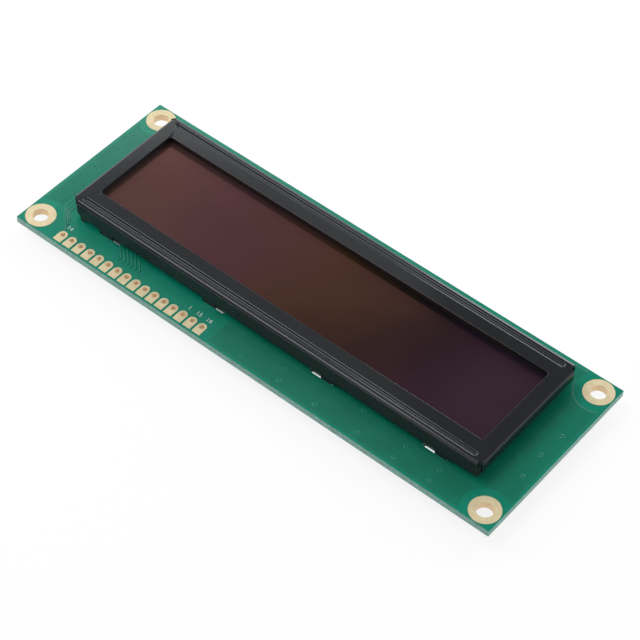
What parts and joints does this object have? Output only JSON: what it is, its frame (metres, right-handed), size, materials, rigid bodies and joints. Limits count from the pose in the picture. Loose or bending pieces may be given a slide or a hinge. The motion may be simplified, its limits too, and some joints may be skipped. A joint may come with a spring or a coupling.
{
  "type": "graphic oled display module",
  "caption": "Long flat display module: a dark panel under a black folded steel bezel, clipped by twisted tabs to a green circuit board with corner holes and a row of solder lands.",
  "frame": {"origin": "middle of the four corner holes, on the circuit board's back face", "axes": "+X along the board, away from the pin row's end; +Y across the board, away from the pin row; +Z out of the display's face"},
  "size_m": [0.122, 0.044, 0.0088],
  "materials": {
    "board": "green solder mask over glass-epoxy",
    "plating": "pale matt gold plating",
    "bezel": "satin black paint on folded steel",
    "gasket": "black closed-cell foam",
    "film": "glossy dark film",
    "front_glass": "clear float glass",
    "cover_glass": "clear glass with a grey drying layer",
    "foam": "white adhesive foam",
    "tail": "amber flexible film",
    "epoxy": "black cast epoxy",
    "ferrite": "sintered grey ferrite",
    "copper": "enamelled copper wire",
    "tin": "tinned metal",
    "mould": "black moulded epoxy",
    "resistor": "black glaze on ceramic",
    "capacitor": "tan ceramic"
  },
  "bodies": {
    "root": {"circuit_board": "board", "corner_rings": "plating", "pin_lands": "plating", "bezel": "bezel", "window_gasket": "gasket", "front_film": "film", "panel_glass": "front_glass", "panel_cap": "cover_glass", "foam_strips": "foam", "flex_tail": "tail", "controller_dome": "epoxy", "coil_shield": "ferrite", "coil_core": "ferrite", "coil_winding": "copper", "coil_terminals": "tin", "diode_body": "mould", "diode_leads": "tin", "converter_body": "mould", "converter_leads": "tin", "resistor_bodies": "resistor", "resistor_caps": "tin", "capacitor_bodies": "capacitor", "capacitor_caps": "tin", "jumper_lands": "plating"}
  },
  "joints": []
}
